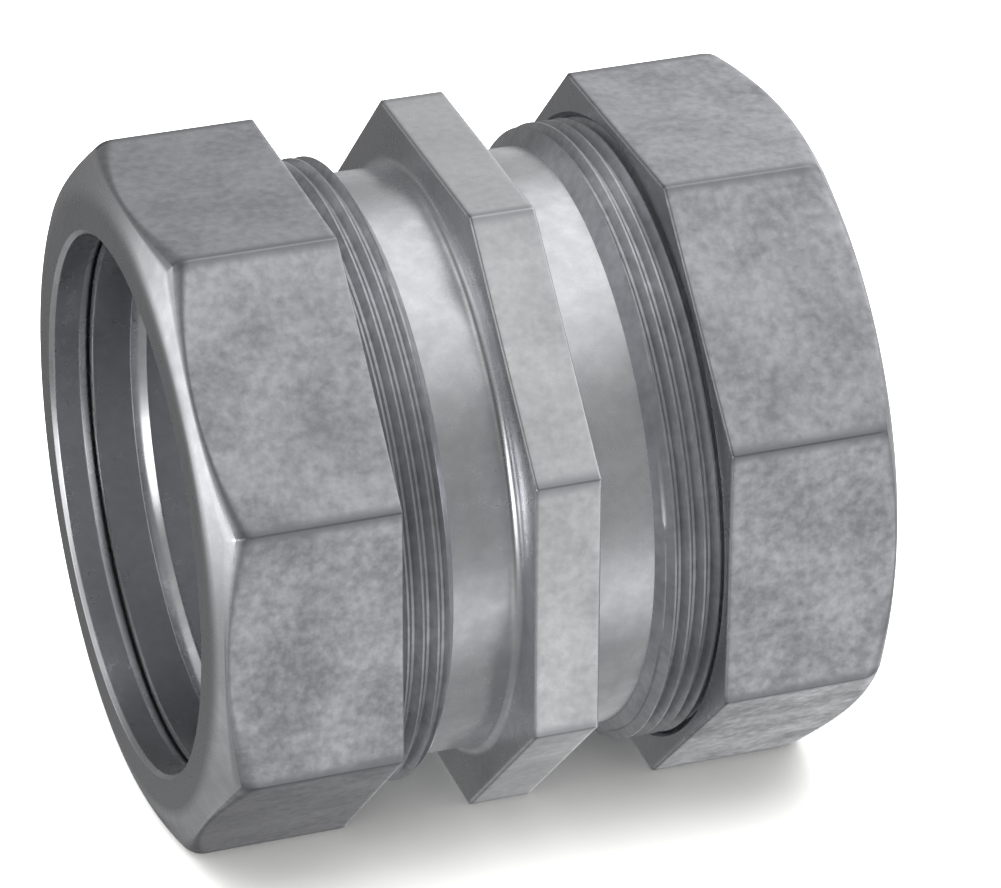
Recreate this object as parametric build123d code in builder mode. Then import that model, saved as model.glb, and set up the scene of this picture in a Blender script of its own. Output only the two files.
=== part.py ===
from build123d import *
import os
from math import cos, radians, sin, tan

# Compression coupling for two-inch thin-wall steel conduit, lying on its wrench flats.
# It runs along X with its origin at the middle, on the conduit's axis. Millimetres, +Z up.
# An eight-sided body carries a male thread on each side of its flange. An eight-sided nut screws
# onto each thread and traps a split ring, bevelled on both edges, between a cone in the body's mouth
# and a cone inside the nut. Tightening the nut squeezes the ring onto the conduit.
# Each thread is a plain cylinder at its crest here, because its ridges are only a millimetre deep.

# Conduit that the coupling joins
conduit_diameter = 55.8

# Octagon shared by the flange and the nuts: the coupling lies on one of its flats
side_count = 8
nut_wall = 1.75

# Body, outside, from the middle outwards
flange_width = 7.0
flange_edge_break = 0.25
neck_wall = 2.8
neck_length = 7.3
neck_root_cone = 0.9
thread_pitch = 25.4 / 16
thread_depth_share = 0.6134
thread_rise_above_neck = 1.2
thread_length = 18.6
thread_start_angle = 30.0

# Body, inside
socket_clearance = 0.3
stop_width = 3.0
stop_height = 1.8
mouth_face_width = 1.6

# Half-angle of every cone that squeezes the ring, measured from the coupling's axis
cone_angle = 35.0

# Split ring
ring_clearance = 0.2
ring_thickness = 2.4
ring_end_face = 1.0
ring_crown_width = 0.45
ring_slit = 3.0
ring_slit_angle = 100.0

# Nut
nut_length = 19.35
nut_face_inset = 2.0
nut_chamfer_angle = 24.0
nut_inner_edge_break = 0.25
nut_thread_entry = 0.5
nut_end_gap = 1.5
throat_clearance = 0.6
throat_length = 3.25
throat_edge_break = 0.45

# Clearances between pieces that move on each other
thread_clearance = 0.08
seat_clearance = 0.25

# Radii that follow from the sizes above
socket_radius = conduit_diameter / 2 + socket_clearance
stop_radius = socket_radius - stop_height
neck_radius = socket_radius + neck_wall
thread_depth = thread_depth_share * thread_pitch
thread_root_radius = neck_radius + thread_rise_above_neck
thread_crest_radius = thread_root_radius + thread_depth
mouth_radius = thread_root_radius - mouth_face_width
ring_inner_radius = conduit_diameter / 2 + ring_clearance
ring_end_radius = ring_inner_radius + ring_end_face
ring_outer_radius = ring_inner_radius + ring_thickness
throat_radius = conduit_diameter / 2 + throat_clearance
nut_thread_radius = thread_crest_radius + thread_clearance
flat_radius = nut_thread_radius + nut_wall
half_side_angle = 180 / side_count
corner_radius = flat_radius / cos(radians(half_side_angle))
nut_face_radius = flat_radius - nut_face_inset
nut_cutter_radius = corner_radius + nut_face_inset

# Lengths that follow from the angles
thread_start_length = (thread_crest_radius - neck_radius) * tan(radians(thread_start_angle))
cone_slope = tan(radians(cone_angle))
seat_gap = seat_clearance / sin(radians(cone_angle))
ring_bevel_length = (ring_outer_radius - ring_end_radius) / cone_slope
nut_cutter_length = (nut_cutter_radius - nut_face_radius) * tan(radians(nut_chamfer_angle))

# Stations along X, from the middle of the coupling outwards
flange_face_x = flange_width / 2
thread_start_x = flange_face_x + neck_length
body_end_x = thread_start_x + thread_length
mouth_root_x = body_end_x - (mouth_radius - socket_radius) / cone_slope
ring_inner_x = mouth_root_x + (ring_end_radius - socket_radius) / cone_slope + seat_gap
ring_crown_start_x = ring_inner_x + ring_bevel_length
ring_crown_end_x = ring_crown_start_x + ring_crown_width
ring_outer_x = ring_crown_end_x + ring_bevel_length
throat_inner_x = ring_outer_x + (ring_end_radius - throat_radius) / cone_slope + seat_gap
nut_outer_x = throat_inner_x + throat_length
nut_inner_x = nut_outer_x - nut_length
nut_shoulder_x = body_end_x + nut_end_gap
nut_shoulder_radius = throat_radius + (throat_inner_x - nut_shoulder_x) * cone_slope


def lengthwise(direction):
    """Section plane through the axis: its x runs outwards on that side and its y runs up."""
    return Plane(origin=(0, 0, 0), x_dir=(direction, 0, 0), z_dir=(0, -direction, 0))


def crosswise(direction, x):
    """Plane across the axis, x out from the middle on that side, facing outwards."""
    return Plane(origin=(direction * x, 0, 0), x_dir=(0, direction, 0), z_dir=(direction, 0, 0))


def octagon_bar(start, length):
    """Adds an eight-sided bar to the part being built, with one flat underneath."""
    with BuildSketch(start) as section:
        RegularPolygon(flat_radius, side_count, major_radius=False, rotation=half_side_angle)
    extrude(section.sketch, amount=length)


os.makedirs("parts", exist_ok=True)

# Body: flange, then the turned outside, then the socket on each side of the stop
with BuildPart() as coupling_body:
    octagon_bar(crosswise(1, -flange_face_x), flange_width)
    flange_rims = coupling_body.edges().group_by(Axis.X)
    chamfer(flange_rims[0] + flange_rims[-1], flange_edge_break)
    with BuildSketch(lengthwise(1)):
        with BuildLine():
            Polyline(
                (0, 0),
                (0, neck_radius + neck_root_cone),
                (flange_face_x, neck_radius + neck_root_cone),
                (flange_face_x + neck_root_cone, neck_radius),
                (thread_start_x, neck_radius),
                (thread_start_x + thread_start_length, thread_crest_radius),
                (body_end_x - thread_depth, thread_crest_radius),
                (body_end_x, thread_root_radius),
                (body_end_x, 0),
                close=True,
            )
        make_face()
        mirror(about=Plane.YZ)
    revolve(axis=Axis.X)
    with BuildSketch(lengthwise(1)):
        with BuildLine():
            Polyline(
                (0, 0),
                (0, stop_radius),
                (stop_width / 2, stop_radius),
                (stop_width / 2, socket_radius),
                (mouth_root_x, socket_radius),
                (body_end_x, mouth_radius),
                (body_end_x, 0),
                close=True,
            )
        make_face()
        mirror(about=Plane.YZ)
    revolve(axis=Axis.X, mode=Mode.SUBTRACT)
coupling_body.part.label = "coupling_body"
export_step(coupling_body.part, "parts/coupling_body.step")

# A nut and a ring on each side, the left pair turned end for end
for side, direction in (("left", -1), ("right", 1)):
    with BuildPart() as nut:
        octagon_bar(crosswise(direction, nut_inner_x), nut_length)
        inner_rim = nut.edges().group_by(lambda edge: abs(edge.center().X))[0]
        chamfer(inner_rim, nut_inner_edge_break)
        with BuildSketch(lengthwise(direction)):
            with BuildLine():
                Polyline(
                    (nut_outer_x, nut_face_radius),
                    (nut_outer_x, nut_cutter_radius),
                    (nut_outer_x - nut_cutter_length, nut_cutter_radius),
                    close=True,
                )
            make_face()
        revolve(axis=Axis.X, mode=Mode.SUBTRACT)
        with BuildSketch(lengthwise(direction)):
            with BuildLine():
                Polyline(
                    (nut_inner_x, 0),
                    (nut_inner_x, nut_thread_radius + nut_thread_entry),
                    (nut_inner_x + nut_thread_entry, nut_thread_radius),
                    (nut_shoulder_x, nut_thread_radius),
                    (nut_shoulder_x, nut_shoulder_radius),
                    (throat_inner_x, throat_radius),
                    (nut_outer_x - throat_edge_break, throat_radius),
                    (nut_outer_x, throat_radius + throat_edge_break),
                    (nut_outer_x, 0),
                    close=True,
                )
            make_face()
        revolve(axis=Axis.X, mode=Mode.SUBTRACT)
    nut.part.label = f"{side}_compression_nut"
    export_step(nut.part, f"parts/{side}_compression_nut.step")

    with BuildPart() as ring:
        with BuildSketch(lengthwise(direction)):
            with BuildLine():
                Polyline(
                    (ring_inner_x, ring_inner_radius),
                    (ring_inner_x, ring_end_radius),
                    (ring_crown_start_x, ring_outer_radius),
                    (ring_crown_end_x, ring_outer_radius),
                    (ring_outer_x, ring_end_radius),
                    (ring_outer_x, ring_inner_radius),
                    close=True,
                )
            make_face()
        revolve(axis=Axis.X)
        with BuildSketch(crosswise(direction, ring_inner_x)):
            Rectangle(
                ring_outer_radius + ring_thickness,
                ring_slit,
                rotation=ring_slit_angle,
                align=(Align.MIN, Align.CENTER),
            )
        extrude(amount=ring_outer_x - ring_inner_x, mode=Mode.SUBTRACT)
    ring.part.label = f"{side}_compression_ring"
    export_step(ring.part, f"parts/{side}_compression_ring.step")

print(f"Across flats {2 * flat_radius:.2f}, overall length {2 * nut_outer_x:.2f}")
print(f"Nut from {nut_inner_x:.2f} to {nut_outer_x:.2f}")
print(f"Nut seat from {nut_shoulder_x:.2f} to {throat_inner_x:.2f}")
print(f"Ring from {ring_inner_x:.2f} to {ring_outer_x:.2f}, outer radius {ring_outer_radius:.2f}")
print(f"Socket from {stop_width / 2:.2f} to {mouth_root_x:.2f}, radius {socket_radius:.2f}")
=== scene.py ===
"""A compression coupling for two-inch thin-wall steel conduit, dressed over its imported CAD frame.

The coupling lies along X with its axis at the origin. Every turned surface is a section spun about
the axis, and a section point may also travel round an octagon. Sections are in millimetres, and
each finished mesh is scaled to metres.
"""

import logging
from collections.abc import Callable
from dataclasses import dataclass, field, replace
from enum import Enum, IntEnum
from math import atan2, cos, hypot, pi, radians, sin, tan

import bmesh
import bpy
from mathutils import Matrix, Vector


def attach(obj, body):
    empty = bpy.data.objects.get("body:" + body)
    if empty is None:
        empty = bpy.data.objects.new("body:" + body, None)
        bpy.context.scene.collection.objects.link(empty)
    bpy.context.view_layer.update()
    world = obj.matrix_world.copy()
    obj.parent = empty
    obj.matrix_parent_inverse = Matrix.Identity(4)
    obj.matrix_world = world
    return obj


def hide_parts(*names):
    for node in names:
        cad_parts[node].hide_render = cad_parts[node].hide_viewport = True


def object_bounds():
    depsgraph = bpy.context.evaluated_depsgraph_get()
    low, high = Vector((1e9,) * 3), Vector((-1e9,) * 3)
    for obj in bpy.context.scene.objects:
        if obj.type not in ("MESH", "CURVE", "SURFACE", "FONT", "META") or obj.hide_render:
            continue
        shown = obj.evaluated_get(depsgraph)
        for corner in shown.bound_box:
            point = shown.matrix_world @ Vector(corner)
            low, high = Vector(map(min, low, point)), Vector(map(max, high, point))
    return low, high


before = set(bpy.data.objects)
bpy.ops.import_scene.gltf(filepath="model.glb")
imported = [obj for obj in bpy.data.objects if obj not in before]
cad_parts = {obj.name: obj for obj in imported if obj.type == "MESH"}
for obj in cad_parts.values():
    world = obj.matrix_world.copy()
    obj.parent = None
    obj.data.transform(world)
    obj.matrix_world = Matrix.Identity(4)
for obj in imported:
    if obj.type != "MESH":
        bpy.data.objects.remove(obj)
cad_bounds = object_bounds()

log = logging.getLogger("coupling")

# Metres in a millimetre
MM = 0.001
# Thread pitch in millimetres, sixteen to the inch
PITCH = 25.4 / 16
# Mesh columns round the axis, a multiple of the octagon's sides
COLUMNS = 192
# Points nearer to each other than this are welded, in millimetres
MERGE = 0.002
# Surfaces that turn more than this at an edge aren't shaded as one
SMOOTH_ANGLE = radians(36)
# A thread's point this near to the thread's end, in millimetres, is moved onto it
THREAD_END_SNAP = 0.03
# Colour of the floor and of what the camera sees behind it
PAPER = "#f7f7f5"


class Side(IntEnum):
    """Which end of the coupling a piece belongs to, as the sign of its X."""

    LEFT = -1
    RIGHT = 1

    @property
    def word(self) -> str:
        """The side's name in the CAD nodes."""
        return self.name.lower()


class Path(Enum):
    """How a section point travels round the axis."""

    CIRCLE = "circle with even columns"
    FAN = "circle with the octagon's columns"
    OCTAGON = "octagon with rounded corners"
    CHAMFER = "octagon where the end cone meets it"


class Surface(IntEnum):
    """Material slot of each kind of surface on a steel piece."""

    FLATS = 0
    TURNED = 1
    THREAD = 2


@dataclass(frozen=True)
class Point:
    """One corner of a section, in millimetres.

    ``out`` is a radius on a circle and the distance of the flats on an octagon. ``surface`` is what
    the band from this point to the next one is made of.
    """

    along: float
    out: float
    path: Path = Path.CIRCLE
    rounding: float = 0.0
    surface: Surface = Surface.TURNED


@dataclass(frozen=True)
class Octagon:
    """The wrench flats that the flange and both nuts share.

    Each corner's arc takes ``arc_columns`` columns on both sides of the corner. The next column
    stands ``hold`` millimetres along the flat, which keeps the flat's shading flat, and at most the
    share ``longest_hold`` of the way to its middle.
    """

    flat_radius: float = 35.003
    corner_round: float = 0.4
    smallest_round: float = 0.05
    sides: int = 8
    arc_columns: int = 3
    hold: float = 0.35
    longest_hold: float = 0.5

    @property
    def columns_per_side(self) -> int:
        """Mesh columns from one flat's middle to the next flat's middle."""
        return COLUMNS // self.sides

    def place(self, column: int, flat: float) -> tuple[float, float]:
        """Where a column crosses the octagon whose flats lie at ``flat``.

        Args:
            column: The mesh column, counted from the top flat's middle.
            flat: Distance of the flats from the axis, which also draws the corner round in.

        Returns:
            The angle from the top in radians and the radius in millimetres.
        """
        half = self.columns_per_side // 2
        corner = (column // self.columns_per_side) * self.columns_per_side + half
        step = column - corner
        half_angle = pi / self.sides
        arc_centre = (self.flat_radius - self.corner_round) / cos(half_angle)
        arc_radius = max(self.corner_round - (self.flat_radius - flat), self.smallest_round)
        share = min(abs(step) / self.arc_columns, 1.0)
        lean = share * half_angle
        out, across = arc_centre + arc_radius * cos(lean), arc_radius * sin(lean)
        if abs(step) > self.arc_columns:
            middle = (flat * cos(half_angle), flat * sin(half_angle))
            length = hypot(middle[0] - out, middle[1] - across)
            held = min(self.hold / length, self.longest_hold)
            spread = (abs(step) - self.arc_columns - 1) / (half - self.arc_columns - 1)
            travelled = held + (1 - held) * spread
            out += (middle[0] - out) * travelled
            across += (middle[1] - across) * travelled
        if step < 0:
            across = -across
        angle = 2 * pi * corner / COLUMNS + atan2(across, out)
        return angle, hypot(out, across)


@dataclass(frozen=True)
class EndCone:
    """The cone that turns the octagon's corners off at a nut's outer end.

    Its rim is rounded more towards the corners, by the share ``easing`` for each millimetre that
    they stand out beyond the flats.
    """

    face_along: float
    face_radius: float
    angle: float
    easing: float = 1.3

    def along(self, radius: float) -> float:
        """Station of the cone at a radius."""
        return self.face_along - (radius - self.face_radius) * tan(radians(self.angle))


@dataclass(frozen=True)
class ThreadForm:
    """A sixty-degree screw thread with flat crests and roots, right-handed, in millimetres."""

    pitch: float = PITCH
    flank_angle: float = 30.0

    def section(
        self, start: float, end: float, groove_width: float, inner: float, outer: float
    ) -> list[tuple[float, float]]:
        """Zigzag that the helix starts from, with a groove's middle at zero.

        Args:
            start: Lowest X that the finished thread reaches.
            end: Highest X that the finished thread reaches.
            groove_width: Width of the flat at the radius ``inner``.
            inner: Radius at the bottom of the groove.
            outer: Radius at the top of the ridge.

        Returns:
            Pairs of X and radius, from low X to high X.
        """
        foot, height = groove_width / 2, outer - inner
        flank = height * tan(radians(self.flank_angle))
        ridge = self.pitch - groove_width - 2 * flank
        turn = [
            (-foot, inner),
            (0.0, inner),
            (foot, inner),
            (foot + flank / 3, inner + height / 3),
            (foot + flank * 2 / 3, inner + height * 2 / 3),
            (foot + flank, outer),
            (foot + flank + ridge / 2, outer),
            (foot + flank + ridge, outer),
            (foot + flank * 4 / 3 + ridge, inner + height * 2 / 3),
            (foot + flank * 5 / 3 + ridge, inner + height / 3),
        ]
        first = int((start - self.pitch) // self.pitch) - 1
        last = int((end + self.pitch) // self.pitch) + 1
        return [(x + n * self.pitch, r) for n in range(first, last) for x, r in turn]


def rounded(
    corners: list[Point], steps: int = 4, hold: float = 0.3, closed: bool = False
) -> list[Point]:
    """Draws an arc at each corner that has a rounding, with a holding point on both sides of it.

    Args:
        corners: The section's corners in order.
        steps: Straight pieces in each arc.
        hold: Distance of the holding points, which keep the faces beside the arc flat.
        closed: Whether the last corner joins the first.

    Returns:
        The section's points in order.
    """
    points = []
    for index, corner in enumerate(corners):
        at_end = index in (0, len(corners) - 1)
        if not corner.rounding or (at_end and not closed):
            points.append(corner)
            continue
        here = Vector((corner.along, corner.out))
        before, after = corners[index - 1], corners[(index + 1) % len(corners)]
        back = (Vector((before.along, before.out)) - here).normalized()
        on = (Vector((after.along, after.out)) - here).normalized()
        half = back.angle(on) / 2
        reach = corner.rounding / tan(half)
        centre = here + (back + on).normalized() * corner.rounding / sin(half)
        first, last = here + back * reach - centre, here + on * reach - centre
        spots = [centre + first + back * hold]
        for step in range(steps + 1):
            spots.append(centre + first.slerp(last, step / steps) * corner.rounding)
        spots.append(centre + last + on * hold)
        for number, spot in enumerate(spots):
            surface = before.surface if number == 0 else corner.surface
            points.append(Point(spot.x, spot.y, corner.path, 0.0, surface))
    return points


def spin_once(
    mesh: bmesh.types.BMesh, outline: list, steps: int = COLUMNS, advance: float = 0.0,
    merge: bool = False,
) -> None:
    """Spins an outline one whole turn about X.

    Args:
        mesh: The mesh that holds the outline.
        outline: The outline's vertices and edges.
        steps: Columns in the turn.
        advance: Millimetres that each step moves along X.
        merge: Whether the last column is joined to the first.
    """
    bmesh.ops.spin(
        mesh, geom=outline, cent=(0, 0, 0), axis=(1, 0, 0), dvec=(advance, 0, 0), angle=2 * pi,
        steps=steps, use_merge=merge, use_duplicate=False,
    )


@dataclass
class SteelMesh:
    """A mesh in the making: sections and threads spun about the axis, in millimetres."""

    octagon: Octagon
    cone: EndCone | None = None
    mesh: bmesh.types.BMesh = field(default_factory=bmesh.new)

    def spot(self, point: Point, side: Side, column: int) -> Vector:
        """Place of a section point on one column.

        Args:
            point: The section point.
            side: The end that the point's stations are measured towards.
            column: The mesh column, counted from the top.

        Returns:
            The place in millimetres.
        """
        angle, radius, along = 2 * pi * column / COLUMNS, point.out, point.along
        if point.path is not Path.CIRCLE:
            angle, radius = self.octagon.place(column, point.out)
        if point.path is Path.FAN:
            angle = self.octagon.place(column, self.octagon.flat_radius)[0]
            radius = point.out
        if point.path is Path.CHAMFER:
            flat = self.octagon.flat_radius
            angle, full = self.octagon.place(column, flat)
            ease = 1 + self.cone.easing * (full - flat)
            radius = full - (flat - point.out) * ease
            along = self.cone.along(full) + point.along * ease
        return Vector((side * along, -radius * sin(angle), radius * cos(angle)))

    def spin_section(self, points: list[Point], side: Side = Side.RIGHT) -> None:
        """Spins a section right round and moves its octagon points out to the flats.

        Args:
            points: The section's points in order.
            side: The end that the stations are measured towards.
        """
        mesh = self.mesh
        layer = mesh.verts.layers.int.get("point") or mesh.verts.layers.int.new("point")
        verts = [mesh.verts.new((side * p.along, 0.0, p.out)) for p in points]
        for index, vert in enumerate(verts):
            vert[layer] = index + 1
        edges = [mesh.edges.new(pair) for pair in zip(verts, verts[1:])]
        known = set(mesh.faces)
        spin_once(mesh, verts + edges, merge=True)
        faces = [face for face in mesh.faces if face not in known]
        for face in faces:
            face.material_index = points[min(vert[layer] for vert in face.verts) - 1].surface
        for vert in {vert for face in faces for vert in face.verts}:
            column = round(atan2(-vert.co.y, vert.co.z) / (2 * pi) * COLUMNS) % COLUMNS
            vert.co = self.spot(points[vert[layer] - 1], side, column)
            vert[layer] = 0

    def spin_thread(
        self, form: ThreadForm, zigzag: list[tuple[float, float]], side: Side,
        span: tuple[float, float], limit: Callable[[float, float], float],
    ) -> None:
        """Spins a zigzag into a helix and turns it down to the piece's own outline.

        Args:
            form: The thread's form, for its pitch.
            zigzag: Pairs of X and radius that the helix starts from.
            side: The end that the thread is on.
            span: Lowest and highest station of the thread, measured towards that end.
            limit: Gives the finished radius from a station and the thread's own radius.
        """
        strip = bmesh.new()
        layer = strip.verts.layers.int.new("point")
        verts = [strip.verts.new((x, 0.0, r)) for x, r in zigzag]
        for index, vert in enumerate(verts):
            vert[layer] = index
        edges = [strip.edges.new(pair) for pair in zip(verts, verts[1:])]
        spin_once(strip, verts + edges, advance=form.pitch / COLUMNS)
        low, high = span
        for vert in strip.verts:
            x, r = zigzag[vert[layer]]
            column = round((vert.co.x - x) / form.pitch * COLUMNS)
            station = side * (x + form.pitch * column / COLUMNS)
            if station < low + THREAD_END_SNAP:
                station = low
            elif station > high - THREAD_END_SNAP:
                station = high
            radius = limit(station, r)
            angle = 2 * pi * column / COLUMNS
            vert.co = (side * station, -radius * sin(angle), radius * cos(angle))
        bmesh.ops.remove_doubles(strip, verts=strip.verts, dist=MERGE)
        for face in strip.faces:
            face.material_index = Surface.THREAD
        made = bpy.data.meshes.new("thread_strip")
        strip.to_mesh(made)
        strip.free()
        self.mesh.from_mesh(made)
        bpy.data.meshes.remove(made)

    def finish(self, name: str) -> bpy.types.Object:
        """Welds the strips, turns the faces outwards and makes the object in metres.

        Args:
            name: Name of the object.

        Returns:
            The object at the origin.
        """
        mesh = self.mesh
        bmesh.ops.remove_doubles(mesh, verts=mesh.verts, dist=MERGE)
        bmesh.ops.dissolve_degenerate(mesh, edges=mesh.edges, dist=MERGE / 4)
        bmesh.ops.recalc_face_normals(mesh, faces=mesh.faces)
        open_edges = sum(not edge.is_manifold for edge in mesh.edges)
        bmesh.ops.transform(mesh, matrix=Matrix.Scale(MM, 4), verts=mesh.verts)
        for face in mesh.faces:
            face.smooth = True
        made = bpy.data.meshes.new(name)
        mesh.to_mesh(made)
        mesh.free()
        made.set_sharp_from_angle(angle=SMOOTH_ANGLE)
        piece = bpy.data.objects.new(name, made)
        bpy.context.scene.collection.objects.link(piece)
        triangles = sum(len(polygon.vertices) - 2 for polygon in made.polygons)
        log.info("%s: %d triangles, %d open edges", name, triangles, open_edges)
        return piece


def linear(code: str) -> tuple[float, float, float, float]:
    """Turns an sRGB hex colour such as ``#a0a4a8`` to linear values with an alpha of one."""
    channels = [int(code[i:i + 2], 16) / 255 for i in (1, 3, 5)]
    toned = [c / 12.92 if c <= 0.04045 else ((c + 0.055) / 1.055) ** 2.4 for c in channels]
    return (*toned, 1.0)


def add_node(
    tree: bpy.types.NodeTree, kind: str, settings: dict | None = None, links: dict | None = None
) -> bpy.types.Node:
    """Adds a node with its settings and its links.

    Args:
        tree: The node tree.
        kind: The node's type name.
        settings: Attributes of the node, or values of its inputs by name or number.
        links: Sockets to join, by the name or number of the input that each feeds.

    Returns:
        The new node.
    """
    node = tree.nodes.new(kind)
    for key, value in (settings or {}).items():
        if isinstance(key, str) and hasattr(node, key):
            setattr(node, key, value)
        else:
            node.inputs[key].default_value = value
    for key, socket in (links or {}).items():
        tree.links.new(socket, node.inputs[key])
    return node


def add_math(
    tree: bpy.types.NodeTree, operation: str, *values: bpy.types.NodeSocket | float
) -> bpy.types.NodeSocket:
    """Adds a calculation.

    Args:
        tree: The node tree.
        operation: The calculation's type name.
        values: Its inputs in order, each a socket or a number.

    Returns:
        The result.
    """
    settings, links = {"operation": operation}, {}
    for number, value in enumerate(values):
        (links if isinstance(value, bpy.types.NodeSocket) else settings)[number] = value
    return add_node(tree, "ShaderNodeMath", settings, links).outputs[0]


def add_step(
    tree: bpy.types.NodeTree, value: bpy.types.NodeSocket, start: float, end: float,
    low: float = 0.0, high: float = 1.0,
) -> bpy.types.NodeSocket:
    """Adds a soft step.

    Args:
        tree: The node tree.
        value: What the step depends on.
        start: Value at which the step begins, with the result ``low``.
        end: Value at which the step is over, with the result ``high``.
        low: Result before the step.
        high: Result after the step.

    Returns:
        The step's result.
    """
    limits = {"From Min": start, "From Max": end, "To Min": low, "To Max": high}
    step = add_node(
        tree, "ShaderNodeMapRange", {"interpolation_type": "SMOOTHSTEP", **limits}, {"Value": value}
    )
    return step.outputs[0]


def add_noise(
    tree: bpy.types.NodeTree, place: bpy.types.NodeSocket, size: float, detail: float,
    roughness: float,
) -> bpy.types.NodeSocket:
    """Adds noise.

    Args:
        tree: The node tree.
        place: Where the noise is read, in metres.
        size: Size of its lumps, in millimetres.
        detail: How many finer layers it has.
        roughness: How strong the finer layers are.

    Returns:
        The noise's value.
    """
    noise = add_node(
        tree, "ShaderNodeTexNoise",
        {"Scale": 1 / (size * MM), "Detail": detail, "Roughness": roughness}, {"Vector": place},
    )
    return noise.outputs["Fac"]


def set_ramp(
    ramp: bpy.types.Node, stops: list[tuple[float, tuple[float, float, float, float]]]
) -> None:
    """Gives a colour ramp its stops, from low to high."""
    elements = ramp.color_ramp.elements
    elements[0].position, elements[0].color = stops[0]
    elements[1].position, elements[1].color = stops[-1]
    for position, colour in stops[1:-1]:
        elements.new(position).color = colour


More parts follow.
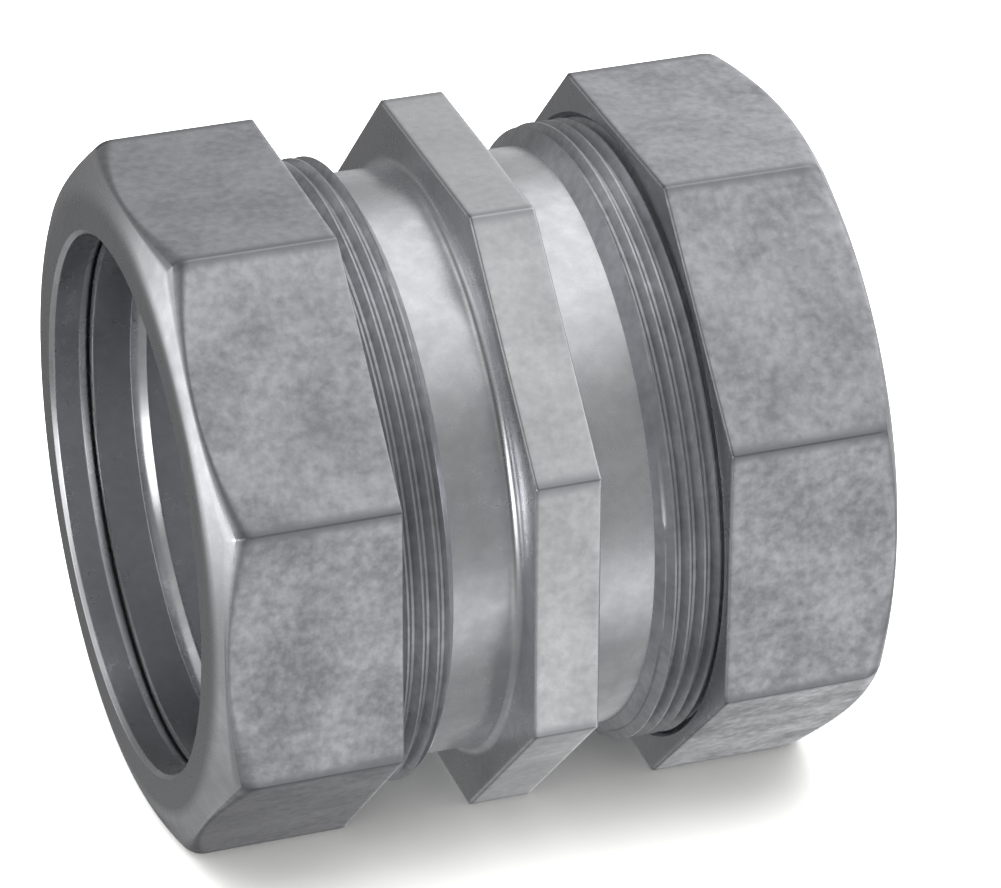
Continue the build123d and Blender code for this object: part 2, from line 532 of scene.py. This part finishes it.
@dataclass(frozen=True)
class ZincPlatedSteel:
    """Zinc-plated steel: a soft grey metal whose plating lies in pale and dark clouds.

    Sizes are real ones in millimetres. The tool marks follow X and the distance from the axis on
    turned surfaces, and are drawn out along X on the others. The clouds have the share
    ``cloud_share`` of the tone, and a drift ``drift_ratio`` times their size has the rest. Where
    ``edge`` is given, the octagon's lengthwise edges have that colour, which is painted shade: it
    darkens the edges to give the dark line along them, and dims the highlight that their rounding
    mirrors. It comes in between the angles ``edge_shade_begins`` and ``edge_shade_is_full`` from a
    flat's middle.
    """

    name: str
    pale: str
    dark: str
    roughness: float
    roughness_spread: float
    cloud_size: float
    cloud_contrast: float
    mark_size: float
    mark_depth: float
    turned: bool
    # Colour of the painted shade along the octagon's lengthwise edges
    edge: str | None = None
    grain_size: float = 0.55
    grain_depth: float = 0.004
    cloud_share: float = 0.55
    drift_ratio: float = 6.0
    mark_squeeze: float = 0.03
    edge_shade_begins: float = radians(20.6)
    edge_shade_is_full: float = radians(22.3)

    def material(self) -> bpy.types.Material:
        """Makes the material.

        Returns:
            A metal with cloudy plating, fine grain and tool marks.
        """
        material = bpy.data.materials.new(self.name)
        material.use_nodes = True
        tree = material.node_tree
        tree.nodes.clear()
        place = add_node(tree, "ShaderNodeTexCoord").outputs["Object"]
        tone = self.plating(tree, place)
        colour = add_node(
            tree, "ShaderNodeMix",
            {"data_type": "RGBA", 6: linear(self.dark), 7: linear(self.pale)}, {0: tone},
        ).outputs[2]
        # Painted shade: the octagon's edges are darkened in the colour itself
        if self.edge:
            colour = self.painted_edge_shade(tree, place, colour)
        spread = self.roughness_spread
        rough = add_node(
            tree, "ShaderNodeMapRange",
            {"To Min": self.roughness + spread, "To Max": self.roughness - spread}, {"Value": tone},
        ).outputs[0]
        grain = add_node(
            tree, "ShaderNodeBump", {"Strength": 1.0, "Distance": self.grain_depth * MM},
            {"Height": add_noise(tree, place, self.grain_size, detail=2.0, roughness=0.6)},
        ).outputs["Normal"]
        relief = add_node(
            tree, "ShaderNodeBump", {"Strength": 1.0, "Distance": self.mark_depth * MM},
            {"Height": self.tool_marks(tree, place), "Normal": grain},
        ).outputs["Normal"]
        shader = add_node(
            tree, "ShaderNodeBsdfPrincipled", {"Metallic": 1.0},
            {"Base Color": colour, "Roughness": rough, "Normal": relief},
        )
        add_node(tree, "ShaderNodeOutputMaterial", None, {"Surface": shader.outputs["BSDF"]})
        return material

    def plating(
        self, tree: bpy.types.NodeTree, place: bpy.types.NodeSocket
    ) -> bpy.types.NodeSocket:
        """Adds the plating's clouds, and a slower drift behind them.

        Args:
            tree: The material's node tree.
            place: The object coordinates.

        Returns:
            The plating's tone, from zero where it is dark to one where it is pale.
        """
        drift_size = self.cloud_size * self.drift_ratio
        clouds = add_noise(tree, place, self.cloud_size, detail=4.0, roughness=0.6)
        drift = add_noise(tree, place, drift_size, detail=2.0, roughness=0.5)
        drift = add_math(tree, "MULTIPLY", drift, 1 - self.cloud_share)
        mixed = add_math(tree, "MULTIPLY_ADD", clouds, self.cloud_share, drift)
        limits = {"From Min": 0.5 - self.cloud_contrast, "From Max": 0.5 + self.cloud_contrast}
        return add_node(tree, "ShaderNodeMapRange", limits, {"Value": mixed}).outputs[0]

    def painted_edge_shade(
        self, tree: bpy.types.NodeTree, place: bpy.types.NodeSocket, colour: bpy.types.NodeSocket
    ) -> bpy.types.NodeSocket:
        """Paints shade along the octagon's lengthwise edges: a darker colour that gives the dark
        line along them and dims the highlight that their rounding mirrors.

        An edge is 22.5 degrees from the nearest flat's middle, and a degree there is two thirds of
        a millimetre.

        Args:
            tree: The material's node tree.
            place: The object coordinates.
            colour: The colour away from the edges.

        Returns:
            The colour with the painted edge shade in it.
        """
        _, y, z = add_node(tree, "ShaderNodeSeparateXYZ", None, {0: place}).outputs
        lean = add_math(tree, "PINGPONG", add_math(tree, "ARCTAN2", y, z), pi / Octagon.sides)
        near = add_step(tree, lean, self.edge_shade_begins, self.edge_shade_is_full)
        mixed = add_node(
            tree, "ShaderNodeMix", {"data_type": "RGBA", 7: linear(self.edge)}, {0: near, 6: colour}
        )
        return mixed.outputs[2]

    def tool_marks(
        self, tree: bpy.types.NodeTree, place: bpy.types.NodeSocket
    ) -> bpy.types.NodeSocket:
        """Adds the marks that the tool left.

        Args:
            tree: The material's node tree.
            place: The object coordinates.

        Returns:
            The height of the marks.
        """
        if self.turned:
            x, y, z = add_node(tree, "ShaderNodeSeparateXYZ", None, {0: place}).outputs
            across = add_node(tree, "ShaderNodeCombineXYZ", None, {1: y, 2: z}).outputs[0]
            radius = add_node(
                tree, "ShaderNodeVectorMath", {"operation": "LENGTH"}, {0: across}
            ).outputs["Value"]
            along_mark = add_node(tree, "ShaderNodeCombineXYZ", None, {0: x, 1: radius}).outputs[0]
        else:
            squeeze = (self.mark_squeeze, 1.0, 1.0)
            along_mark = add_node(
                tree, "ShaderNodeMapping", {"Scale": squeeze}, {"Vector": place}
            ).outputs[0]
        return add_noise(tree, along_mark, self.mark_size, detail=2.0, roughness=0.55)


# Drawn octagon bar, tumbled: satin grey with pale clouds and faint lines lengthwise, and painted
# shade in its edge colour along the edges
DRAWN_BAR = ZincPlatedSteel(
    name="zinc_plated_drawn_steel", pale="#d5d6da", dark="#aaabb0", edge="#9c9da2",
    roughness=0.36, roughness_spread=0.07, cloud_size=1.1, cloud_contrast=0.14,
    mark_size=0.35, mark_depth=0.006, turned=False,
)
# Milled flats of the flange: the same grey a step lighter, because the cutter left them smooth,
# with painted shade in the edge colour along its edges
MILLED_FLAT = ZincPlatedSteel(
    name="zinc_plated_milled_steel", pale="#edeef0", dark="#d0d1d4", edge="#b7b8bc",
    roughness=0.31, roughness_spread=0.05, cloud_size=1.1, cloud_contrast=0.16,
    mark_size=0.35, mark_depth=0.004, turned=False,
)
# Turned on the lathe: brighter than the nuts' flats, with fine rings that stretch the highlights
TURNED_FACE = ZincPlatedSteel(
    name="zinc_plated_turned_steel", pale="#ecedf0", dark="#cbccd0",
    roughness=0.28, roughness_spread=0.05, cloud_size=2.2, cloud_contrast=0.2,
    mark_size=0.3, mark_depth=0.002, turned=True, grain_depth=0.0006,
)
# Cut thread: duller and darker, because plating builds up thin in the roots
CUT_THREAD = ZincPlatedSteel(
    name="zinc_plated_cut_thread", pale="#d2d3d7", dark="#a8a9ad",
    roughness=0.38, roughness_spread=0.06, cloud_size=1.2, cloud_contrast=0.2,
    mark_size=0.2, mark_depth=0.004, turned=True, grain_depth=0.002,
)
# Spring-steel ring, turned on both bevels: the smoothest piece where it shows
SPRING_RING = ZincPlatedSteel(
    name="zinc_plated_spring_steel", pale="#eaebed", dark="#cccdd0",
    roughness=0.25, roughness_spread=0.05, cloud_size=1.5, cloud_contrast=0.2,
    mark_size=0.25, mark_depth=0.003, turned=True, grain_depth=0.0015,
)


@dataclass
class CouplingBody:
    """Turned body: octagonal flange, two necks, two male threads and two sockets about a stop."""

    octagon: Octagon
    thread: ThreadForm
    flange_face: float = 3.5
    flange_rim_round: float = 0.3
    neck_radius: float = 31.0
    neck_root_round: float = 1.0
    thread_start: float = 10.8
    thread_crest: float = 33.174
    thread_root: float = 32.2
    thread_start_angle: float = 30.0
    groove_width: float = PITCH / 6
    body_end: float = 29.4
    mouth_radius: float = 30.6
    socket_radius: float = 28.2
    mouth_root: float = 25.97
    stop_radius: float = 26.4
    stop_face: float = 1.5
    mouth_edge_round: float = 0.12
    mouth_root_round: float = 0.2
    stop_root_round: float = 0.25
    stop_edge_round: float = 0.3

    def turned_down(self, station: float, radius: float) -> float:
        """Radius of the thread once its start and its end have been turned."""
        slope = tan(radians(self.thread_start_angle))
        start = self.neck_radius + (station - self.thread_start) / slope
        end = self.thread_root + (self.body_end - station)
        return min(radius, start, end)

    def build(self) -> bpy.types.Object:
        """Builds the body's mesh.

        Returns:
            The body as one closed piece.
        """
        steel = SteelMesh(self.octagon)
        flat = self.octagon.flat_radius
        outside = [
            Point(-self.thread_start, self.neck_radius),
            Point(-self.flange_face, self.neck_radius, rounding=self.neck_root_round),
            Point(-self.flange_face, flat, Path.OCTAGON, self.flange_rim_round, Surface.FLATS),
            Point(self.flange_face, flat, Path.OCTAGON, self.flange_rim_round),
            Point(self.flange_face, self.neck_radius, rounding=self.neck_root_round),
            Point(self.thread_start, self.neck_radius),
        ]
        steel.spin_section(rounded(outside, steps=5))
        right_half = [
            Point(self.stop_face, self.stop_radius, rounding=self.stop_edge_round),
            Point(self.stop_face, self.socket_radius, rounding=self.stop_root_round),
            Point(self.mouth_root, self.socket_radius, rounding=self.mouth_root_round),
            Point(self.body_end, self.mouth_radius, rounding=self.mouth_edge_round),
            Point(self.body_end, self.thread_root),
        ]
        left_half = [replace(point, along=-point.along) for point in right_half]
        steel.spin_section(rounded(right_half[::-1] + left_half, steps=3))
        for side in Side:
            span = (self.thread_start, self.body_end)
            zigzag = self.thread.section(
                *sorted(side * station for station in span),
                self.groove_width, self.thread_root, self.thread_crest,
            )
            steel.spin_thread(self.thread, zigzag, side, span, self.turned_down)
        return steel.finish("threaded_body")


@dataclass
class CompressionNut:
    """Octagonal nut: a female thread, a cone that seats on the ring, and a plain throat.

    The rim between the flats and the end cone is rounded in ``rim_steps`` steps. The fields named
    hold are the distances at which a point keeps the surface beside a rounding flat.
    """

    side: Side
    octagon: Octagon
    thread: ThreadForm
    inner_face: float = 17.335
    outer_face: float = 36.685
    rim_round: float = 0.3
    face_radius: float = 33.003
    face_rim_round: float = 4.5
    chamfer_angle: float = 24.0
    chamfer_rim_round: float = 0.6
    thread_entry: float = 33.754
    thread_bore: float = 33.254
    thread_crest: float = 32.32
    ridge_width: float = 0.283
    relief_start: float = 29.9
    shoulder: float = 30.9
    shoulder_radius: float = 30.283
    throat_inner: float = 33.44
    throat_radius: float = 28.5
    throat_edge_break: float = 0.45
    throat_round: float = 0.15
    shoulder_round: float = 0.1
    bore_round: float = 0.2
    rim_steps: int = 7
    flat_hold: float = 0.15
    cone_hold: float = 0.05
    cone_middle_hold: float = 1.05
    inner_hold: float = 0.12

    def bored_out(self, station: float, radius: float) -> float:
        """Radius of the female thread once its entry and its run-out have been bored."""
        entry = self.thread_entry - (station - self.inner_face)
        run_out = self.thread_bore - (self.relief_start - station)
        return max(radius, entry, run_out)

    def chamfer_rim(self, cone: EndCone) -> list[Point]:
        """Points that round the edge between the end cone and the flats.

        Args:
            cone: The nut's end cone.

        Returns:
            Points from the flats to the cone, measured from where the two meet.
        """
        flat = self.octagon.flat_radius
        turn = radians(90 - cone.angle)
        reach = self.chamfer_rim_round * tan(turn / 2)
        points = [Point(-reach - self.flat_hold, flat, Path.CHAMFER, surface=Surface.FLATS)]
        for step in range(self.rim_steps + 1):
            lean = turn * step / self.rim_steps
            inset = self.chamfer_rim_round * (1 - cos(lean))
            along = self.chamfer_rim_round * sin(lean) - reach
            surface = Surface.FLATS if step <= self.rim_steps // 2 else Surface.TURNED
            points.append(Point(along, flat - inset, Path.CHAMFER, surface=surface))
        held = reach + self.cone_hold
        points.append(Point(held * cos(turn), flat - held * sin(turn), Path.CHAMFER))
        return points

    def build(self) -> bpy.types.Object:
        """Builds the nut's mesh.

        Returns:
            The nut as one closed piece.
        """
        cone = EndCone(self.outer_face, self.face_radius, self.chamfer_angle)
        steel = SteelMesh(self.octagon, cone)
        flat = self.octagon.flat_radius
        cone_middle = self.face_radius + self.cone_middle_hold
        # The last point only gives the rim's rounding its direction, and is left out below.
        inner_end = [
            Point(self.inner_face, self.thread_entry),
            Point(self.inner_face, flat, Path.OCTAGON, self.rim_round, Surface.FLATS),
            Point(self.outer_face, flat, Path.OCTAGON, surface=Surface.FLATS),
        ]
        mouth_radius = self.throat_radius + self.throat_edge_break
        mouth_root = self.outer_face - self.throat_edge_break
        outer_end = [
            Point(cone.along(cone_middle), cone_middle, Path.FAN),
            Point(self.outer_face, self.face_radius, Path.FAN, self.face_rim_round),
            Point(self.outer_face, mouth_radius, rounding=self.throat_round),
            Point(mouth_root, self.throat_radius, rounding=self.throat_round),
            Point(self.throat_inner, self.throat_radius, rounding=self.throat_round),
            Point(self.shoulder, self.shoulder_radius, rounding=self.shoulder_round),
            Point(self.shoulder, self.thread_bore, rounding=self.bore_round),
            Point(self.relief_start, self.thread_bore),
        ]
        section = rounded(inner_end)[:-1] + self.chamfer_rim(cone)
        section += rounded(outer_end, steps=3, hold=self.inner_hold)
        steel.spin_section(section, self.side)
        span = (self.inner_face, self.relief_start)
        zigzag = self.thread.section(
            *sorted(self.side * station for station in span),
            self.ridge_width, self.thread_crest, self.thread_bore,
        )
        steel.spin_thread(self.thread, zigzag, self.side, span, self.bored_out)
        return steel.finish(f"{self.side.word}_octagon_nut")


@dataclass
class CompressionRing:
    """Split ring with a bevel towards the body's mouth and one towards the nut's seat."""

    side: Side
    octagon: Octagon
    inner_face: float = 27.69
    outer_face: float = 32.14
    inner_radius: float = 28.1
    end_radius: float = 29.1
    outer_radius: float = 30.5
    crown_width: float = 0.45
    edge_round: float = 0.12
    crown_round: float = 0.15
    slit: float = 3.0
    slit_angle: float = 100.0
    slit_edge_round: float = 0.08
    columns: int = 180

    def build(self) -> bpy.types.Object:
        """Builds the ring's mesh, open at its slit.

        Returns:
            The ring as one closed piece.
        """
        middle = (self.inner_face + self.outer_face) / 2
        crown_start, crown_end = middle - self.crown_width / 2, middle + self.crown_width / 2
        corners = [
            Point(self.inner_face, self.inner_radius, rounding=self.edge_round),
            Point(self.inner_face, self.end_radius, rounding=self.edge_round),
            Point(crown_start, self.outer_radius, rounding=self.crown_round),
            Point(crown_end, self.outer_radius, rounding=self.crown_round),
            Point(self.outer_face, self.end_radius, rounding=self.edge_round),
            Point(self.outer_face, self.inner_radius, rounding=self.edge_round),
        ]
        points = rounded(corners, steps=2, hold=0.1, closed=True)
        steel = SteelMesh(self.octagon)
        mesh = steel.mesh
        verts = [mesh.verts.new((self.side * p.along, 0.0, p.out)) for p in points]
        edges = [mesh.edges.new(pair) for pair in zip(verts, verts[1:] + verts[:1])]
        spin_once(mesh, verts + edges, steps=self.columns)
        # The slit's faces are parallel, so each radius stops at its own angle short of a full turn.
        for vert in mesh.verts:
            radius = hypot(vert.co.y, vert.co.z)
            turned = atan2(-vert.co.y, vert.co.z) % (2 * pi)
            if vert in verts:
                turned = 0.0
            elif turned < pi / self.columns:
                turned = 2 * pi
            half_slit = (self.slit / 2) / radius
            angle = half_slit + turned * (1 - half_slit / pi) + self.slit_start()
            vert.co.y, vert.co.z = -radius * sin(angle), radius * cos(angle)
        bmesh.ops.holes_fill(mesh, edges=[edge for edge in mesh.edges if edge.is_boundary], sides=0)
        ends = [edge for edge in mesh.edges if any(len(face.verts) > 4 for face in edge.link_faces)]
        bmesh.ops.bevel(
            mesh, geom=ends, offset=self.slit_edge_round, offset_type="OFFSET", segments=2,
            profile=0.5, affect="EDGES", clamp_overlap=True, material=-1,
        )
        return steel.finish(f"{self.side.word}_split_ring")

    def slit_start(self) -> float:
        """Angle of the slit's middle from the top, about +X, in radians."""
        return self.side * radians(self.slit_angle - 90)


class Axis(IntEnum):
    """Which part of a direction the surroundings change with."""

    X = 0
    Y = 1
    Z = 2


@dataclass(frozen=True)
class Step:
    """A soft step along one axis, ``low`` up to ``start`` and ``high`` from ``end`` on."""

    axis: Axis
    start: float
    end: float
    low: float = 0.0
    high: float = 1.0

    def add(
        self, tree: bpy.types.NodeTree, parts: list[bpy.types.NodeSocket]
    ) -> bpy.types.NodeSocket:
        """Adds the step.

        Args:
            tree: The world's node tree.
            parts: The direction's parts along the axes.

        Returns:
            The step's result.
        """
        return add_step(tree, parts[self.axis], self.start, self.end, self.low, self.high)


@dataclass(frozen=True)
class Band:
    """A soft band of heights, full up to ``inner`` from its middle and gone from ``outer`` on."""

    middle: float
    outer: float
    inner: float

    def add(
        self, tree: bpy.types.NodeTree, parts: list[bpy.types.NodeSocket]
    ) -> bpy.types.NodeSocket:
        """Adds the band.

        Args:
            tree: The world's node tree.
            parts: The direction's parts along the axes.

        Returns:
            One inside the band and zero outside it.
        """
        away = add_math(tree, "SUBTRACT", parts[Axis.Z], self.middle)
        return add_step(tree, add_math(tree, "ABSOLUTE", away), self.outer, self.inner)


@dataclass(frozen=True)
class Shade:
    """A step that multiplies the surroundings' brightness where all of ``where`` is full."""

    factor: Step
    where: tuple[Step, ...]


@dataclass(frozen=True)
class Patch:
    """A lit patch that adds ``strength`` to the surroundings where all of ``shape`` is full."""

    strength: float
    shape: tuple[Step | Band, ...]


# Parts of the studio, by the direction in which they lie from the coupling
BEHIND = (Step(Axis.Y, 0.2, 0.7),)
AHEAD = (Step(Axis.Y, 0.4, 0.1),)
ABOVE = (Step(Axis.Z, -0.3, -0.05), Step(Axis.Y, 0.78, 0.5))
BELOW = (Step(Axis.Z, -0.5, -0.75),)
# Pale card at the left, level with the coupling: it lights the left nut's end cone
CARD = Patch(1.1, (Step(Axis.X, -0.56, -0.74), Step(Axis.Y, -0.45, -0.15), Band(-0.06, 0.36, 0.2)))
# Narrow light at the left front, which shows as a bright line in the left bore and at the flange
STRIP = Patch(4.0, (Step(Axis.X, -0.5, -0.66), Step(Axis.Y, -0.25, -0.45), Band(0.05, 0.28, 0.12)))
# Faint light from the table at the left
GLOW = Patch(0.25, (Step(Axis.X, 0.05, -0.15), Step(Axis.Z, -0.5, -0.64)))


@dataclass
class Studio:
    """Pale floor, soft surroundings and a camera at the photograph's angle.

    ``surroundings`` gives how bright the studio is at angles about the coupling's axis, in degrees
    from straight up towards the front: a wide soft box overhead, a pale strip low in front and
    dimmer walls between them. ``shades`` and ``patches`` change that from left to right. Only the
    steel mirrors them, and the camera and the floor see plain paper. ``distance``, ``lens`` and
    ``sensor_width`` are in millimetres, and the other lengths in metres.
    """

    yaw: float = -18.8
    elevation: float = 29.1
    distance: float = 572.0
    lens: float = 194.2
    sensor_width: float = 36.0
    shift: tuple[float, float] = (0.0446, 0.0063)
    clip: tuple[float, float] = (0.01, 20.0)
    floor_size: float = 3.0
    floor_gap: float = 0.0001
    floor_roughness: float = 0.9
    lamp_size: float = 2.2
    lamp_height: float = 1.6
    lamp_power: float = 60.0
    backdrop_strength: float = 1.7
    surroundings: tuple[tuple[float, float], ...] = (
        (-180, 0.42), (-149, 0.54), (-121, 0.35), (-112, 0.42), (-95, 0.68), (-79, 0.45),
        (-60, 0.52), (-50, 0.79), (-40, 1.12), (-10, 1.25), (12, 1.16), (24, 0.9), (33, 0.7),
        (43, 0.43), (60, 0.38), (90, 0.38), (104, 0.44), (114, 0.68), (123, 1.0), (132, 0.88),
        (142, 0.56), (155, 0.38), (180, 0.42),
    )
    shades: tuple[Shade, ...] = (
        Shade(Step(Axis.X, 0.1, 0.45, 0.4, 1.7), BEHIND),
        Shade(Step(Axis.X, 0.12, -0.28, 1.0, 0.45), AHEAD),
        Shade(Step(Axis.X, 0.12, -0.28, 1.0, 0.35), ABOVE),
        Shade(Step(Axis.X, -0.42, -0.7, 1.0, 3.0), ABOVE),
        Shade(Step(Axis.X, 0.22, 0.35, 0.5, 1.65), BELOW),
    )
    patches: tuple[Patch, ...] = (CARD, STRIP, GLOW)

    def build(self, resting_height: float) -> None:
        """Builds the floor, its lamp, the world and the camera.

        Args:
            resting_height: Height of the coupling's lowest flat, in metres.
        """
        self.floor(resting_height - self.floor_gap)
        self.world()
        self.floor_lamp()
        self.camera()

    def floor(self, height: float) -> None:
        """Lays a matt white floor, which the polished steel doesn't mirror."""
        mesh = bmesh.new()
        bmesh.ops.create_grid(mesh, x_segments=1, y_segments=1, size=self.floor_size)
        bmesh.ops.translate(mesh, verts=mesh.verts, vec=(0, 0, height))
        made = bpy.data.meshes.new("floor")
        mesh.to_mesh(made)
        mesh.free()
        floor = bpy.data.objects.new("floor", made)
        bpy.context.scene.collection.objects.link(floor)
        paper = bpy.data.materials.new("matt_white_paper")
        paper.use_nodes = True
        shader = paper.node_tree.nodes["Principled BSDF"]
        shader.inputs["Base Color"].default_value = linear(PAPER)
        shader.inputs["Roughness"].default_value = self.floor_roughness
        made.materials.append(paper)
        floor.visible_glossy = False

    def floor_lamp(self) -> None:
        """Hangs a square light overhead that only brightens the floor."""
        light = bpy.data.lights.new("floor_lamp", "AREA")
        light.size = self.lamp_size
        light.energy = self.lamp_power
        lamp = bpy.data.objects.new("floor_lamp", light)
        lamp.location = (0.0, 0.0, self.lamp_height)
        lamp.visible_glossy = False
        lamp.visible_camera = False
        bpy.context.scene.collection.objects.link(lamp)

    def world(self) -> None:
        """Makes the soft surroundings that the steel mirrors, and the plain paper behind it."""
        world = bpy.data.worlds.new("studio")
        bpy.context.scene.world = world
        world.use_nodes = True
        tree = world.node_tree
        tree.nodes.clear()
        direction = add_node(tree, "ShaderNodeTexCoord").outputs["Generated"]
        parts = list(add_node(tree, "ShaderNodeSeparateXYZ", None, {0: direction}).outputs)
        brightness = self.walls(tree, parts)
        for shade in self.shades:
            factor = add_node(
                tree, "ShaderNodeMix", {"data_type": "FLOAT", 2: 1.0},
                {0: self.cover(tree, parts, shade.where), 3: shade.factor.add(tree, parts)},
            ).outputs[0]
            brightness = add_math(tree, "MULTIPLY", brightness, factor)
        for patch in self.patches:
            shape = self.cover(tree, parts, patch.shape)
            brightness = add_math(tree, "MULTIPLY_ADD", shape, patch.strength, brightness)
        mirrored = add_node(tree, "ShaderNodeBackground", None, {"Strength": brightness})
        backdrop = add_node(
            tree, "ShaderNodeBackground",
            {"Color": linear(PAPER), "Strength": self.backdrop_strength},
        )
        ray = add_node(tree, "ShaderNodeLightPath")
        mixed = add_node(
            tree, "ShaderNodeMixShader", None,
            {0: ray.outputs["Is Glossy Ray"], 1: backdrop.outputs[0], 2: mirrored.outputs[0]},
        )
        add_node(tree, "ShaderNodeOutputWorld", None, {"Surface": mixed.outputs[0]})

    def walls(
        self, tree: bpy.types.NodeTree, parts: list[bpy.types.NodeSocket]
    ) -> bpy.types.NodeSocket:
        """Adds the brightness that changes round the coupling's axis.

        Args:
            tree: The world's node tree.
            parts: The direction's parts along the axes.

        Returns:
            The brightness.
        """
        frontwards = add_math(tree, "MULTIPLY", parts[Axis.Y], -1.0)
        turn = add_math(tree, "ARCTAN2", frontwards, parts[Axis.Z])
        place = add_node(
            tree, "ShaderNodeMapRange", {"From Min": -pi, "From Max": pi}, {"Value": turn}
        ).outputs[0]
        ramp = add_node(tree, "ShaderNodeValToRGB", None, {0: place})
        set_ramp(ramp, [((angle + 180) / 360, grey(value)) for angle, value in self.surroundings])
        return ramp.outputs[0]

    def cover(
        self, tree: bpy.types.NodeTree, parts: list[bpy.types.NodeSocket],
        steps: tuple[Step | Band, ...],
    ) -> bpy.types.NodeSocket:
        """Adds the product of some steps and bands.

        Args:
            tree: The world's node tree.
            parts: The direction's parts along the axes.
            steps: The steps and bands.

        Returns:
            One where all of them are full, and zero where one of them is gone.
        """
        product, *others = (step.add(tree, parts) for step in steps)
        for other in others:
            product = add_math(tree, "MULTIPLY", product, other)
        return product

    def camera(self) -> None:
        """Sets the camera at the photograph's angle."""
        yaw, elevation = radians(self.yaw), radians(self.elevation)
        lens = bpy.data.cameras.new("camera")
        lens.lens = self.lens
        lens.sensor_width = self.sensor_width
        lens.shift_x, lens.shift_y = self.shift
        lens.clip_start, lens.clip_end = self.clip
        camera = bpy.data.objects.new("camera", lens)
        direction = Vector((sin(yaw) * cos(elevation), -cos(yaw) * cos(elevation), sin(elevation)))
        camera.location = direction * self.distance * MM
        camera.rotation_euler = (pi / 2 - elevation, 0.0, yaw)
        bpy.context.scene.collection.objects.link(camera)
        bpy.context.scene.camera = camera
        bpy.context.scene.view_settings.view_transform = "Standard"


def grey(value: float) -> tuple[float, float, float, float]:
    """Gives a neutral linear grey with an alpha of one."""
    return (value, value, value, 1.0)


def dress(
    piece: bpy.types.Object, node: str, finishes: list[bpy.types.Material]
) -> None:
    """Gives a piece its finishes and its place in the frame.

    Args:
        piece: The finished piece.
        node: The CAD node that it stands for, which is also the body that it rides on.
        finishes: Materials in the order of ``Surface``.
    """
    for finish in finishes:
        piece.data.materials.append(finish)
    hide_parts(node)
    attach(piece, node)
    log.info("%s stands for %s", piece.name, node)


def main() -> None:
    """Builds the coupling and the studio."""
    logging.basicConfig(level=logging.INFO, format="%(name)s: %(message)s")
    octagon, thread = Octagon(), ThreadForm()
    finishes = (DRAWN_BAR, MILLED_FLAT, TURNED_FACE, CUT_THREAD, SPRING_RING)
    drawn, milled, turned, cut, ring = (finish.material() for finish in finishes)
    body = CouplingBody(octagon, thread).build()
    dress(body, "coupling_body", [milled, turned, cut])
    for side in Side:
        nut = CompressionNut(side, octagon, thread).build()
        dress(nut, f"{side.word}_compression_nut", [drawn, turned, cut])
        split_ring = CompressionRing(side, octagon).build()
        dress(split_ring, f"{side.word}_compression_ring", [ring, ring, cut])
    Studio().build(cad_bounds[0].z)


if __name__ == "__main__":
    main()
